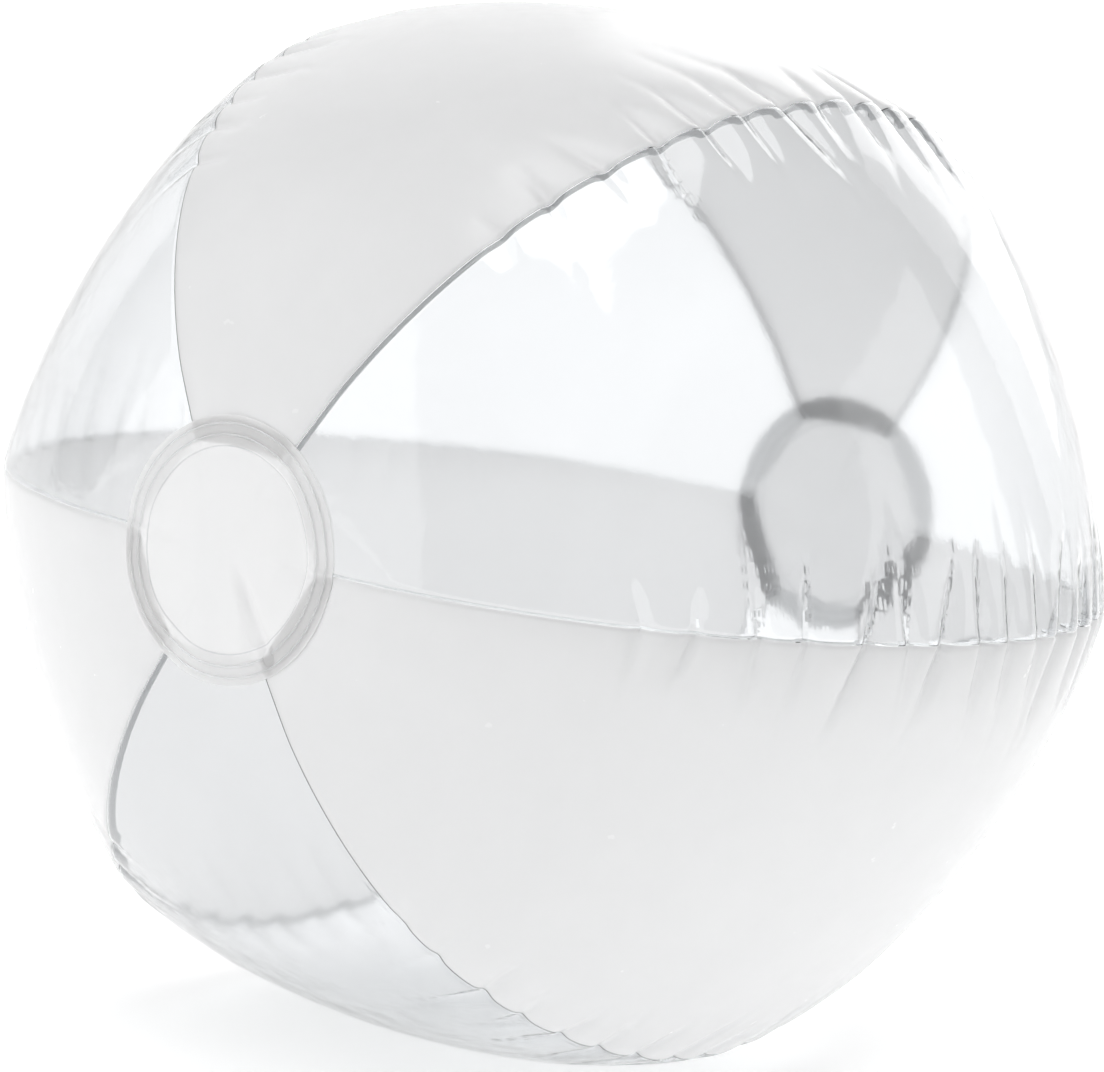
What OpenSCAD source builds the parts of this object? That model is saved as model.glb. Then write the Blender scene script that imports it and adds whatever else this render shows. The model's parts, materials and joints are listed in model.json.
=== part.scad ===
// Inflatable beach ball: six welded film panels, two pole discs and a push-in valve.
//
// The ball lies on a panel.  Its polar axis runs along Y, with the front disc at -Y, and the
// origin is the ball's centre.  Panels are counted round the axis from +X towards +Z.
// All sizes are in millimetres, for the ball blown up tight.

/* [Ball] */
// Size across two opposite seams
seam_across = 280; // [240:5:360]
// Size across two opposite panel crowns, as a share of seam_across
crown_share = 0.943; // [0.930:0.001:0.955]
// Length from pole to pole, as a share of seam_across
length_share = 0.921; // [0.905:0.001:0.945]
// Radius of a panel's long curve at the equator, as a share of half seam_across
equator_curve = 1.057; // [1.040:0.001:1.075]
// Thickness of the PVC film
film = 0.25; // [0.20:0.05:0.40]
// Width of the weld allowance that stands inside along each seam
allowance = 2.5; // [1.5:0.5:4.0]

/* [Pole discs] */
// Radius of each pole disc
disc_r = 32; // [29:0.5:36]
// Width of the ring in which a disc laps over the panel ends
lap = 7.4; // [6:0.1:9]

/* [Valve] */
// Outer radius of the flange that is welded inside the film
flange_r = 13; // [11.5:0.5:15]
// Thickness of the flange
flange_t = 0.8; // [0.6:0.1:1.0]
// Radius of the hole in the film
mouth_r = 8.5; // [8.2:0.1:9.5]
// Outer radius of the stem
stem_r = 3.8; // [3.6:0.1:4.0]
// Radius of the stem's bore
bore_r = 2.6; // [2.2:0.1:2.8]
// Length of the stem
stem_length = 14; // [12:0.5:15]
// Radius of the plug's head
head_r = 4.6; // [4.4:0.1:4.8]
// Length of the plug below its head
spigot_length = 7; // [5:0.5:8]

/* [Hidden] */
$fn = 96;

white = [0.93, 0.93, 0.94];
clear = [0.88, 0.93, 0.95, 0.35];
milky = [0.90, 0.91, 0.92];

panels = 6;
half_angle = 180 / panels;
seam_r = seam_across / 2;
crown_r = seam_r * crown_share;
half_length = seam_r * length_share;
reach = seam_across;              // longer than anything on the ball

// A panel is a strip of a wide barrel.  The barrel's axis is parallel to the ball's and lies
// behind it, so the panel crowns less than a sphere does and the seams stand out as corners.
barrel_axis = (crown_r * crown_r - seam_r * seam_r)
            / (2 * (crown_r - seam_r * cos(half_angle)));

// The long curve of a panel: one arc over the equator, one over each shoulder and a flat pole.
flat_r = seam_r / 7;
equator_r = seam_r * equator_curve;
equator_x = crown_r - equator_r;
shoulder_r = (pow(flat_r - equator_x, 2) + pow(half_length, 2) - pow(equator_r, 2))
           / (2 * (half_length - equator_r));
shoulder_z = half_length - shoulder_r;
join_angle = atan2(shoulder_z, flat_r - equator_x);

// Place of the valve: on the shoulder at the rear, on the crown line of its panel.
valve_panel_angle = 330;
valve_slope = 62;                 // angle between the valve's axis and the equator's plane
valve_out = flat_r + shoulder_r * cos(valve_slope);
valve_back = shoulder_z + shoulder_r * sin(valve_slope);

// Heights in the valve's own frame: 0 is the film's outer face, + is outwards.
stem_top = -2;
head_t = 1.8;
boot_t = 0.6;
boot_top = -0.5;
boot_bottom = -14.3;
boot_gap = 0.3;
plug_fit = 0.05;
flap_t = 0.3;
strap_w = 3;
strap_t = 0.8;
strap_bend_r = 1.7;

// The ball's axis stands on Z in every module below; upright() lays it along -Y.
module upright() { rotate([90, 0, 0]) children(); }

// Sector of a circle about the point [x, y], between two angles.
module sector(x, y, r, from, to) {
    far = 2 * reach;
    intersection() {
        translate([x, y]) circle(r, $fn = 360);
        polygon([[x, y],
                 [x + far * cos(from), y + far * sin(from)],
                 [x + far * cos(to), y + far * sin(to)]]);
    }
}

// The area under a panel's long curve, grown outwards by grow, measured from the barrel's axis.
// A shoulder's sector runs a little past both its ends, where it stays inside its neighbours.
module half_outline(grow) {
    back = -barrel_axis;
    top = half_length + grow;
    past = 6;
    sector(back + equator_x, 0, equator_r + grow, -join_angle, join_angle);
    for (side = [0, 1])
        mirror([0, side])
            sector(back + flat_r, shoulder_z, shoulder_r + grow, join_angle - past, 90 + past);
    translate([0, -top]) square([back + flat_r, 2 * top]);
}

// The barrel that a panel is cut from, turned just far enough to fill the panel.
module barrel() {
    span = 1.3 * atan2(seam_r * sin(half_angle), seam_r * cos(half_angle) - barrel_axis);
    translate([barrel_axis, 0, 0])
        rotate([0, 0, -span])
            rotate_extrude(angle = 2 * span)
                children();
}

// The space between the two seam planes of a panel, less a margin at each.
module wedge(margin) {
    tip = margin / sin(half_angle);
    linear_extrude(height = reach, center = true)
        polygon([[tip, 0],
                 [tip + reach * cos(half_angle), reach * sin(half_angle)],
                 [tip + reach * cos(half_angle), -reach * sin(half_angle)]]);
}

// One panel's share of the skin, from inner to outer above the film's outer face.
module skin(inner, outer) {
    intersection() {
        barrel() difference() {
            half_outline(outer);
            half_outline(inner);
        }
        wedge(0);
    }
}

// The allowance along one seam of a panel: a band of film turned inwards.
module seam_allowance(side) {
    mirror([0, side, 0])
        intersection() {
            barrel() difference() {
                half_outline(-film / 2);
                half_outline(-allowance);
            }
            rotate([0, 0, half_angle])
                translate([0, -film, -reach / 2])
                    cube([reach, film, reach]);
        }
}

// A panel: film with an allowance along both seams, open at the poles.
module panel() {
    difference() {
        union() {
            skin(-film, 0);
            for (side = [0, 1]) seam_allowance(side);
        }
        cylinder(r = disc_r - lap, h = reach, center = true);
    }
}

module placed_panel(index) {
    upright() rotate([0, 0, half_angle * (2 * index + 1)]) panel();
}

// A disc: flat in the middle, and bent back over the panel ends where it is welded to them.
module pole_disc(side) {
    bend_r = 1.22 * shoulder_r;
    bend_start = 1.12 * flat_r;
    rest_gap = 0.02;
    z = half_length + rest_gap - bend_r;
    upright() mirror([0, 0, side])
        rotate_extrude()
            intersection() {
                union() {
                    translate([0, half_length + rest_gap]) square([bend_start, film]);
                    difference() {
                        sector(bend_start, z, bend_r + film, 60, 90);
                        translate([bend_start, z]) circle(bend_r, $fn = 360);
                    }
                }
                square([disc_r, reach]);
            }
}

module top_white_panel() { color(white) placed_panel(1); }
module right_clear_panel() { color(clear) placed_panel(0); }
module bottom_clear_panel() { color(clear) placed_panel(4); }
module left_white_panel() { color(white) placed_panel(3); }
module upper_left_clear_panel() { color(clear) placed_panel(2); }

module valve_white_panel() {
    color(white) difference() {
        placed_panel(5);
        valve_frame() cylinder(r = mouth_r, h = 12, center = true);
    }
}

module front_disc() { color(milky) pole_disc(0); }
module rear_disc() { color(milky) pole_disc(1); }

// Puts children on the valve's axis, with Z pointing out of the ball.
module valve_frame() {
    upright()
        rotate([0, 0, valve_panel_angle])
            translate([valve_out, 0, -valve_back])
                rotate([0, 90 + valve_slope, 0])
                    children();
}

// Flange under the film, and the soft boot that leads down to the foot of the stem.
module valve_base() {
    color(white) {
        intersection() {
            upright() rotate([0, 0, valve_panel_angle]) skin(-film - flange_t, -film);
            valve_frame() difference() {
                cylinder(r = flange_r, h = 12, center = true);
                cylinder(r = mouth_r - boot_t, h = 13, center = true);
            }
        }
        valve_frame() boot();
    }
}

module boot() {
    foot_r = stem_r + boot_gap;
    rotate_extrude()
        polygon([[mouth_r - boot_t, boot_top], [mouth_r, boot_top],
                 [foot_r + boot_t, boot_bottom], [foot_r, boot_bottom]]);
}

module valve_stem() {
    color(white) valve_frame()
        translate([0, 0, stem_top - stem_length])
            difference() {
                cylinder(r = stem_r, h = stem_length);
                translate([0, 0, -1]) cylinder(r = bore_r, h = stem_length + 2);
            }
}

// Plug: a domed head with a grip rib, and a spigot that fills the top of the bore.
module valve_plug() {
    spigot_r = bore_r - plug_fit;
    rib_t = 1.2;
    color(white) valve_frame()
        translate([0, 0, stem_top]) {
            cylinder(r = head_r, h = head_t);
            translate([-head_r + 1, -rib_t / 2, head_t])
                cube([2 * head_r - 2, rib_t, 1]);
            translate([0, 0, -spigot_length + 1]) cylinder(r = spigot_r, h = spigot_length - 1);
            translate([0, 0, -spigot_length]) cylinder(r1 = spigot_r - 0.7, r2 = spigot_r, h = 1);
        }
}

// Strap: a band that leaves the head, turns down and comes back beside the stem.
module plug_strap() {
    start = head_r;
    middle_z = stem_top + head_t / 2 - strap_bend_r;
    color(white) valve_frame()
        translate([start, 0, middle_z])
            rotate([90, 0, 0])
                rotate([0, 0, -90])
                    translate([0, 0, -strap_w / 2])
                        rotate_extrude(angle = 180)
                            translate([strap_bend_r - strap_t / 2, 0])
                                square([strap_t, strap_w]);
}

// Film flap that closes the foot of the stem from inside.
module non_return_flap() {
    color(milky) valve_frame()
        translate([0, 0, stem_top - stem_length - flap_t - 0.05])
            cylinder(r = stem_r, h = flap_t);
}

top_white_panel();
right_clear_panel();
valve_white_panel();
bottom_clear_panel();
left_white_panel();
upper_left_clear_panel();
front_disc();
rear_disc();
valve_base();
valve_stem();
valve_plug();
plug_strap();
non_return_flap();
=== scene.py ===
# %% [markdown]
# # An inflatable beach ball, built round a fixed CAD frame
# The ball is six strips of soft PVC film, white and clear by turns, welded edge to edge, with a
# disc over the strip ends at each pole and a push-in valve. Its look comes from how it is made:
# flat strips cannot form a round ball, so blowing it up crowns each strip and puckers the seams.
# This lesson cuts the strips to a pattern, blows them up with Blender's Cloth, and then builds
# every piece at its real film thickness on the blown-up shape.

# %% Load the frame
import json
import math

import bmesh
import bpy
import numpy as np
from mathutils import Matrix, Vector


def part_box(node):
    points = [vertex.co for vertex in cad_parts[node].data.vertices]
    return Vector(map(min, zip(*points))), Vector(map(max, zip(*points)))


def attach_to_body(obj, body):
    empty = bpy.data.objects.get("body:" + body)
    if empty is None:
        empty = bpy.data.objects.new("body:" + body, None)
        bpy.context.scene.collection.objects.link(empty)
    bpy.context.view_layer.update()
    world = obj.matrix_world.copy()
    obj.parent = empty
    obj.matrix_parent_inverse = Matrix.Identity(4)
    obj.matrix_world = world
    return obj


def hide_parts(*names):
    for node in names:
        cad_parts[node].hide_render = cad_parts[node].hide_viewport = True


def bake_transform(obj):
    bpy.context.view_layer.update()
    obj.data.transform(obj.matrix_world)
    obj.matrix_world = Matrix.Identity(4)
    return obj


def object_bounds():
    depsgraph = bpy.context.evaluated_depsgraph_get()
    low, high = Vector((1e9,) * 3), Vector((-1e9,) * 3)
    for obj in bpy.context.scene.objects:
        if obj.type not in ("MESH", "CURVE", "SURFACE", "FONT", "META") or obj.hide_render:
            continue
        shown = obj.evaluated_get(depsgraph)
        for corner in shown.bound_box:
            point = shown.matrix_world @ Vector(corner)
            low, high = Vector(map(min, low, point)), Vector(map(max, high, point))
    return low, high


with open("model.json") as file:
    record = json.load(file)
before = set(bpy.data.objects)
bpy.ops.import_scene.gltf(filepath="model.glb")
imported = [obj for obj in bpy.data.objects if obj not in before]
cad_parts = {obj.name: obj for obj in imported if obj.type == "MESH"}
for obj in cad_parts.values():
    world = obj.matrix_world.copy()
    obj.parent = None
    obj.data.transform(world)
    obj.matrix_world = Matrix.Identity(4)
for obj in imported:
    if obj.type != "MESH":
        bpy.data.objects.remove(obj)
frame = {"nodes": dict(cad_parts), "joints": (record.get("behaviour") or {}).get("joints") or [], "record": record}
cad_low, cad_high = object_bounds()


MM = 0.001
print("CAD box in mm:", [round(v / MM, 1) for v in cad_high - cad_low])

# %% [markdown]
# ## Camera
# The ball lies on its bottom panel, with its polar axis level. The camera stands to the right of
# the front disc and a little above the ball's middle, with a long lens, so the ball keeps its
# proportions. It is aimed at a point near the ball's centre and turned a little about its view.

# %% Camera
CAMERA_AZIMUTH = math.radians(36.0)
CAMERA_ELEVATION = math.radians(8.33)
CAMERA_ROLL = math.radians(7.7)
CAMERA_DISTANCE = 1.326
CAMERA_LENS = 169.65
AIM_RIGHT = -0.8 * MM
AIM_UP = -1.5 * MM


def add_camera():
    """A camera on a sphere round the ball, rolled about its own axis."""
    data = bpy.data.cameras.new("camera")
    camera = bpy.data.objects.new("camera", data)
    bpy.context.scene.collection.objects.link(camera)
    level = math.cos(CAMERA_ELEVATION)
    back = Vector((math.sin(CAMERA_AZIMUTH) * level,
                   -math.cos(CAMERA_AZIMUTH) * level,
                   math.sin(CAMERA_ELEVATION)))
    right = Vector((math.cos(CAMERA_AZIMUTH), math.sin(CAMERA_AZIMUTH), 0))
    up = back.cross(right)
    roll = Matrix.Rotation(CAMERA_ROLL, 3, back)
    right, up = roll @ right, roll @ up
    axes = Matrix((right, up, back)).transposed()
    camera.matrix_world = Matrix.Translation(
        back * CAMERA_DISTANCE + right * AIM_RIGHT + up * AIM_UP) @ axes.to_4x4()
    data.sensor_width = 36
    data.lens = CAMERA_LENS
    data.clip_start = 0.01
    bpy.context.scene.camera = camera
    return camera


camera = add_camera()
print("camera at", [round(v, 3) for v in camera.location])

# %% [markdown]
# ## Shape of the blown-up ball
# The frame gives the size across the crowns, across the seams and from pole to pole. A panel is a
# strip of a wide barrel whose axis lies behind the ball's, so its crown is flatter than a sphere
# and the seams stand out as soft corners. Its long curve is an arc over the equator, a tighter
# arc over each shoulder, and a flat pole.

# %% Sizes taken from the frame
PANELS = 6
HALF_PANEL = math.pi / PANELS
FILM = 0.25 * MM
ALLOWANCE = 2.5 * MM
LAP = 7.4 * MM
seam_r = cad_high.x
crown_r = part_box("top_white_panel")[1].z
disc_low, disc_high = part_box("front_disc")
disc_r = disc_high.x
DISC_REST_GAP = 0.02 * MM
half_length = -disc_low.y - FILM - DISC_REST_GAP

flat_r = seam_r / 7
equator_r = seam_r * 1.057
equator_x = crown_r - equator_r
shoulder_r = (((flat_r - equator_x) ** 2 + half_length ** 2 - equator_r ** 2)
              / (2 * (half_length - equator_r)))
shoulder_y = half_length - shoulder_r
join_angle = math.atan2(shoulder_y, flat_r - equator_x)
barrel_axis = ((crown_r ** 2 - seam_r ** 2)
               / (2 * (crown_r - seam_r * math.cos(HALF_PANEL))))
equator_run = equator_r * join_angle
shoulder_run = shoulder_r * (math.pi / 2 - join_angle)
pole_run = equator_run + shoulder_run + flat_r
print(f"crown line {2 * pole_run / MM:.0f} mm from pole to pole,",
      f"crown {crown_r / MM:.1f} mm, seam {seam_r / MM:.1f} mm")


# %% A panel's crown line and its width
def crown(run):
    """Distance from the polar axis and place along it, at a run from the equator."""
    run = np.asarray(run, float)
    size = np.abs(run)
    equator = size / equator_r
    shoulder = join_angle + (size - equator_run) / shoulder_r
    past = equator_run + shoulder_run
    out = np.where(size < equator_run, equator_x + equator_r * np.cos(equator),
                   flat_r + shoulder_r * np.cos(np.minimum(shoulder, math.pi / 2)))
    out = np.where(size > past, flat_r - (size - past), out)
    along = np.where(size < equator_run, equator_r * np.sin(equator),
                     shoulder_y + shoulder_r * np.sin(np.minimum(shoulder, math.pi / 2)))
    return out, np.sign(run) * along


def spread(run):
    """Radius of the panel's cross arc and its half angle, at a run from the equator."""
    radius = crown(run)[0] - barrel_axis
    return radius, HALF_PANEL + np.arcsin(barrel_axis / (2 * radius))


def half_width(run):
    """Half the panel's width, measured over its arc."""
    radius, angle = spread(run)
    return radius * angle


def turn(out, along, side, panel):
    """Points of a panel, given outwards, along the axis and sideways, turned into place."""
    angle = HALF_PANEL * (2 * panel + 1)
    return np.stack([out * math.cos(angle) - side * math.sin(angle),
                     along + 0 * out,
                     out * math.sin(angle) + side * math.cos(angle)], -1)


print(f"panel {2 * half_width(0) / MM:.0f} mm wide at the equator")

# %% [markdown]
# ## The cutting pattern
# Each strip is cut flat, so the rest shape of the cloth keeps every strip flat across and mitred
# to its neighbours, like a hexagonal lantern. A flat strip's edges have to run the same way as
# its middle, but on the blown-up ball the edges have less room: that surplus is what puckers.
# The columns of the grid are closer near the seams, where the puckers are.

# %% Grid of the cloth
ROWS = 206
RINGS = 10
WELD_R = disc_r - LAP / 2
COLUMN_STEPS = (2, 2.4, 3.2, 4.2, 5.5, 7, 8.5, 10, 12, 14)
from_seam = np.cumsum((0,) + COLUMN_STEPS) / sum(COLUMN_STEPS)
column_u = np.concatenate([-1 + from_seam, 1 - from_seam[:-1][::-1]])
PANEL_COLUMNS = len(column_u) - 1
COLUMNS = PANEL_COLUMNS * PANELS

weld_run = equator_run + shoulder_r * (math.acos((WELD_R - flat_r) / shoulder_r) - join_angle)
row_run = np.linspace(-weld_run, weld_run, ROWS)
row_width = half_width(row_run)


def flat_strips():
    """The strips as cut: flat across, mitred at the seams, easing to a circle at the discs."""
    fine = np.linspace(0, weld_run, 4001)
    slope = np.gradient(half_width(fine) / math.tan(HALF_PANEL), fine)
    rise = np.sqrt(np.maximum(1 - slope ** 2, 0))
    steps = (rise[1:] + rise[:-1]) / 2 * np.diff(fine)
    reach = np.concatenate([[0], np.cumsum(steps)])
    along = np.sign(row_run) * np.interp(np.abs(row_run), fine, reach)
    ease_length = 18 * MM
    ease = np.clip((np.abs(row_run) - weld_run + ease_length) / ease_length, 0, 1)
    ease = (ease * ease * (3 - 2 * ease))[:, None]
    width, u = row_width[:, None], column_u[:-1]
    round_r = width / HALF_PANEL
    out = (1 - ease) * width / math.tan(HALF_PANEL) + ease * round_r * np.cos(u * HALF_PANEL)
    side = (1 - ease) * width * u + ease * round_r * np.sin(u * HALF_PANEL)
    return np.concatenate([turn(out, along[:, None], side, p) for p in range(PANELS)], 1)


def blown_up_strips():
    """The same grid on the blown-up shape of the frame."""
    radius, angle = (v[:, None] for v in spread(row_run))
    along = crown(row_run)[1][:, None]
    out = barrel_axis + radius * np.cos(angle * column_u[:-1])
    side = radius * np.sin(angle * column_u[:-1])
    return np.concatenate([turn(out, along, side, p) for p in range(PANELS)], 1)


def grid_normals(points):
    """Outward normals of a grid that closes on itself across its columns."""
    down = np.gradient(points, axis=0)
    across = np.roll(points, -1, 1) - np.roll(points, 1, 1)
    normal = np.cross(down, across)
    return normal / np.linalg.norm(normal, axis=2, keepdims=True)


print("cloth grid:", ROWS, "rows of", COLUMNS, "columns")

# %% [markdown]
# ## Where the puckers start
# Surplus film buckles at whatever fault it meets first. Creases are therefore seeded across every
# seam, 12 to 17 mm apart, deepest at the equator, and the cloth then takes up its surplus there.
# Each crease is a narrow valley, because pressure rounds the film out between two creases.

# %% Seed the creases
CREASE_SPACING = 14 * MM
CREASE_SPAN = 118 * MM
CREASE_DEPTH = 1.0 * MM
CREASE_REACH = 17 * MM
CREASE_WIDTH = 2.0 * MM
CREASE_TIP = 0.6 * MM
random = np.random.default_rng(7)


def seam_creases():
    """For each seam, its creases: place along it, strength, reach to each side, slant."""
    seams = []
    for seam in range(PANELS):
        creases = []
        place = -CREASE_SPAN + random.uniform(0, CREASE_SPACING)
        while place < CREASE_SPAN:
            fade = math.cos(place / (CREASE_SPAN * 1.04) * math.pi / 2) ** 0.45
            creases.append((place, fade * random.uniform(0.6, 1.25),
                            CREASE_REACH * fade ** 0.5 * random.uniform(0.7, 1.35),
                            random.uniform(-0.22, 0.22)))
            place += CREASE_SPACING * random.uniform(0.8, 1.22)
        seams.append(creases)
    return seams


def crease_depth(run, offset, creases, width):
    """Share of full depth at points a run along the seam and an offset to its side."""
    depth = np.zeros(np.broadcast(run, offset).shape)
    for place, strength, reach, slant in creases:
        x = run - place - slant * offset
        valley = np.exp(-(np.sqrt(x * x + CREASE_TIP ** 2) - CREASE_TIP) / width)
        depth += strength * valley * np.exp(-(np.abs(offset) / reach) ** 2.2)
    return depth


def seeded(points, creases):
    """The grid with its creases pressed in by a little."""
    depth = np.zeros(points.shape[:2])
    reach = PANEL_COLUMNS // 2
    for seam in range(PANELS):
        for step in range(-reach, reach):
            column = (seam * PANEL_COLUMNS + step) % COLUMNS
            share = 1 - abs(column_u[step % PANEL_COLUMNS])
            offset = math.copysign(1, step) * share * row_width
            depth[:, column] += crease_depth(row_run, offset, creases[seam], CREASE_WIDTH)
    return points - grid_normals(points) * (CREASE_DEPTH * depth)[..., None]


creases = seam_creases()
print("creases on each seam:", [len(c) for c in creases])

# %% [markdown]
# ## Blowing it up
# The whole skin is one cloth mesh: the strips share their seam vertices, and flat rings fill the
# poles. Pressure pushes outwards, gravity is off, and the film hardly stretches but bends easily.
# The rest shape is the cutting pattern, so the surplus at the seams has to go somewhere.


# %% Cloth mesh
def with_poles(points):
    """The strips' points, then rings that close each pole, as one list."""
    parts = [points.reshape(-1, 3)]
    for row in (0, ROWS - 1):
        for ring in range(1, RINGS):
            shrunk = points[row].copy()
            shrunk[:, [0, 2]] *= 1 - ring / RINGS
            parts.append(shrunk)
        parts.append(np.array([[0, points[row, 0, 1], 0]]))
    return np.concatenate(parts)


def cloth_faces():
    """Quads of the strips and rings, and a fan at each pole, all facing out."""
    near = np.arange(COLUMNS)
    far = (near + 1) % COLUMNS
    faces = []
    for row in range(ROWS - 1):
        a, b = row * COLUMNS, (row + 1) * COLUMNS
        faces += np.stack([a + near, b + near, b + far, a + far], 1).tolist()
    start = ROWS * COLUMNS
    for row in (0, ROWS - 1):
        outer = row * COLUMNS
        flip = 1 if row else -1
        for ring in range(1, RINGS):
            quads = np.stack([outer + near, start + near, start + far, outer + far], 1)
            faces += quads[:, ::flip].tolist()
            outer, start = start, start + COLUMNS
        fan = np.stack([outer + near, 0 * near + start, outer + far], 1)
        faces += fan[:, ::flip].tolist()
        start += 1
    return faces


def blow_up(start, cut, frames):
    """Runs Cloth on the skin from its start shape and returns the points that it reaches."""
    mesh = bpy.data.meshes.new("cloth")
    mesh.from_pydata(start.tolist(), [], cloth_faces())
    skin = bpy.data.objects.new("cloth", mesh)
    bpy.context.scene.collection.objects.link(skin)
    skin.shape_key_add(name="blown_up")
    pattern = skin.shape_key_add(name="cut_flat")
    pattern.data.foreach_set("co", cut.ravel())
    cloth = skin.modifiers.new("Cloth", "CLOTH")
    cloth.settings.rest_shape_key = pattern
    cloth.settings.quality = 6
    cloth.settings.mass = 0.1
    cloth.settings.tension_stiffness = 60
    cloth.settings.compression_stiffness = 60
    cloth.settings.shear_stiffness = 60
    cloth.settings.bending_stiffness = 1
    cloth.settings.tension_damping = 8
    cloth.settings.compression_damping = 8
    cloth.settings.shear_damping = 8
    cloth.settings.air_damping = 1
    cloth.settings.use_pressure = True
    cloth.settings.uniform_pressure_force = 6
    cloth.settings.effector_weights.gravity = 0
    cloth.collision_settings.use_collision = False
    cloth.point_cache.frame_start = 1
    cloth.point_cache.frame_end = frames
    for number in range(1, frames + 1):
        bpy.context.scene.frame_set(number)
    shaped = skin.evaluated_get(bpy.context.evaluated_depsgraph_get())
    points = np.empty(len(start) * 3)
    shaped.data.vertices.foreach_get("co", points)
    bpy.data.objects.remove(skin)
    bpy.data.meshes.remove(mesh)
    bpy.context.scene.frame_set(1)
    return points.reshape(-1, 3)


# %% Run it
SIMULATED_FRAMES = 20
skin_points = with_poles(seeded(blown_up_strips(), creases))
skin_points = blow_up(skin_points, with_poles(flat_strips()), SIMULATED_FRAMES)
print("cloth vertices:", len(skin_points),
      "spread in mm:", np.round(np.ptp(skin_points, 0) / MM, 1).tolist())

# %% [markdown]
# ## One grid from pole to pole
# The strips and the pole rings go into one grid, whose rows run from the front pole to the rear
# one. The film stretches a little as it is blown up, so the grid is scaled back to the sizes of
# the frame, and it is laid exactly on the frame's surface round the valve, whose stiff flange
# holds the film in shape there.


# %% Gather the rows
def pole_rows(points, first):
    """Rings of one pole from the outside in, with the pole's own point repeated."""
    count = (RINGS - 1) * COLUMNS
    rings = points[first:first + count].reshape(RINGS - 1, COLUMNS, 3)
    pole = np.repeat(points[first + count][None, None], COLUMNS, 1)
    return np.concatenate([rings, pole])


strip_points = ROWS * COLUMNS
pole_points = (RINGS - 1) * COLUMNS + 1
front_rows = pole_rows(skin_points, strip_points)[::-1]
rear_rows = pole_rows(skin_points, strip_points + pole_points)
strips = skin_points[:strip_points].reshape(ROWS, COLUMNS, 3)
grid = np.concatenate([front_rows, strips, rear_rows])
ring_run = weld_run + WELD_R * np.arange(1, RINGS + 1) / RINGS
grid_run = np.concatenate([-ring_run[::-1], row_run, ring_run])

# %% Scale to the frame
middle = len(grid) // 2
seams_now = np.hypot(grid[middle - 5:middle + 5, ::PANEL_COLUMNS, 0],
                     grid[middle - 5:middle + 5, ::PANEL_COLUMNS, 2]).mean()
crowns_now = np.hypot(grid[middle, PANEL_COLUMNS // 2::PANEL_COLUMNS, 0],
                      grid[middle, PANEL_COLUMNS // 2::PANEL_COLUMNS, 2]).mean()
weld_now = (grid[-RINGS - 1, :, 1].mean() - grid[RINGS, :, 1].mean()) / 2
print(f"blown up: seam {seams_now / MM:.1f}, crown {crowns_now / MM:.1f},",
      f"weld at {weld_now / MM:.1f} mm")
across_scale = (seam_r + crown_r) / (seams_now + crowns_now)
along_scale = crown(weld_run)[1] / weld_now
grid = grid * np.array([across_scale, along_scale, across_scale])

# %% Lay the film on the frame round the valve
mouth = next(m for m in frame["record"]["mounts"] if m["name"] == "valve_mouth")
valve_axis = Vector(mouth["axis"]).normalized()
STEM_TOP_DEPTH = 2 * MM
valve_centre = Vector(mouth["pos_m"]) + valve_axis * STEM_TOP_DEPTH
HELD_R = 16 * MM
FREE_R = 40 * MM
no_rows = np.zeros((RINGS, COLUMNS, 3))
cad_grid = np.concatenate([no_rows, blown_up_strips(), no_rows])
away = np.linalg.norm(grid - np.array(valve_centre), axis=2)
hold = np.clip((FREE_R - away) / (FREE_R - HELD_R), 0, 1)
hold = (hold * hold * (3 - 2 * hold))[..., None]
hold[:RINGS] = 0
hold[-RINGS:] = 0
grid = grid + (cad_grid - grid) * hold
floor_z = -crown_r
grid[..., 2] = np.maximum(grid[..., 2], floor_z)
print("grid box in mm:", np.round(np.ptp(grid.reshape(-1, 3), 0) / MM, 1).tolist())

# %% [markdown]
# ## From grid to film
# The cloth grid is coarse, so natural splines run through its rows and columns and are read off
# wherever a piece needs points: closely at the seams and creases, sparsely in between.


# %% Natural spline
def spline(values, knots, at):
    """Reads values, given at knots along axis 1, at other places; each row has its own."""
    count = len(knots)
    step = np.diff(knots)
    left, right = np.eye(count), np.zeros((count, count))
    for i in range(1, count - 1):
        left[i, i - 1:i + 2] = step[i - 1], 2 * (step[i - 1] + step[i]), step[i]
        right[i, i - 1:i + 2] = 6 / step[i - 1], -6 / step[i - 1] - 6 / step[i], 6 / step[i]
    bend = np.einsum("ij,rjk->rik", np.linalg.solve(left, right), values)
    i = np.clip(np.searchsorted(knots, at) - 1, 0, count - 2)
    h = step[i][..., None]
    b = ((at - knots[i]) / step[i])[..., None]
    a = 1 - b

    def take(source, index):
        return np.take_along_axis(source, index[..., None], 1)

    return (a * take(values, i) + b * take(values, i + 1)
            + ((a ** 3 - a) * take(bend, i) + (b ** 3 - b) * take(bend, i + 1)) * h * h / 6)


def fine_rows(columns, runs):
    """Columns of the grid, read at new runs from the equator."""
    at = np.broadcast_to(runs, (columns.shape[1], len(runs)))
    return spline(columns.transpose(1, 0, 2), grid_run, at).transpose(1, 0, 2)


# %% Make a mesh
def add_mesh(name, points, faces, smooth_below=40):
    """A named mesh object from points and faces, smooth but for edges sharper than that."""
    mesh = bpy.data.meshes.new(name)
    mesh.from_pydata(np.asarray(points).reshape(-1, 3).tolist(), [], faces)
    mesh.validate()
    mesh.polygons.foreach_set("use_smooth", [True] * len(mesh.polygons))
    mesh.set_sharp_from_angle(angle=math.radians(smooth_below))
    piece = bpy.data.objects.new(name, mesh)
    bpy.context.scene.collection.objects.link(piece)
    return piece


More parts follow.
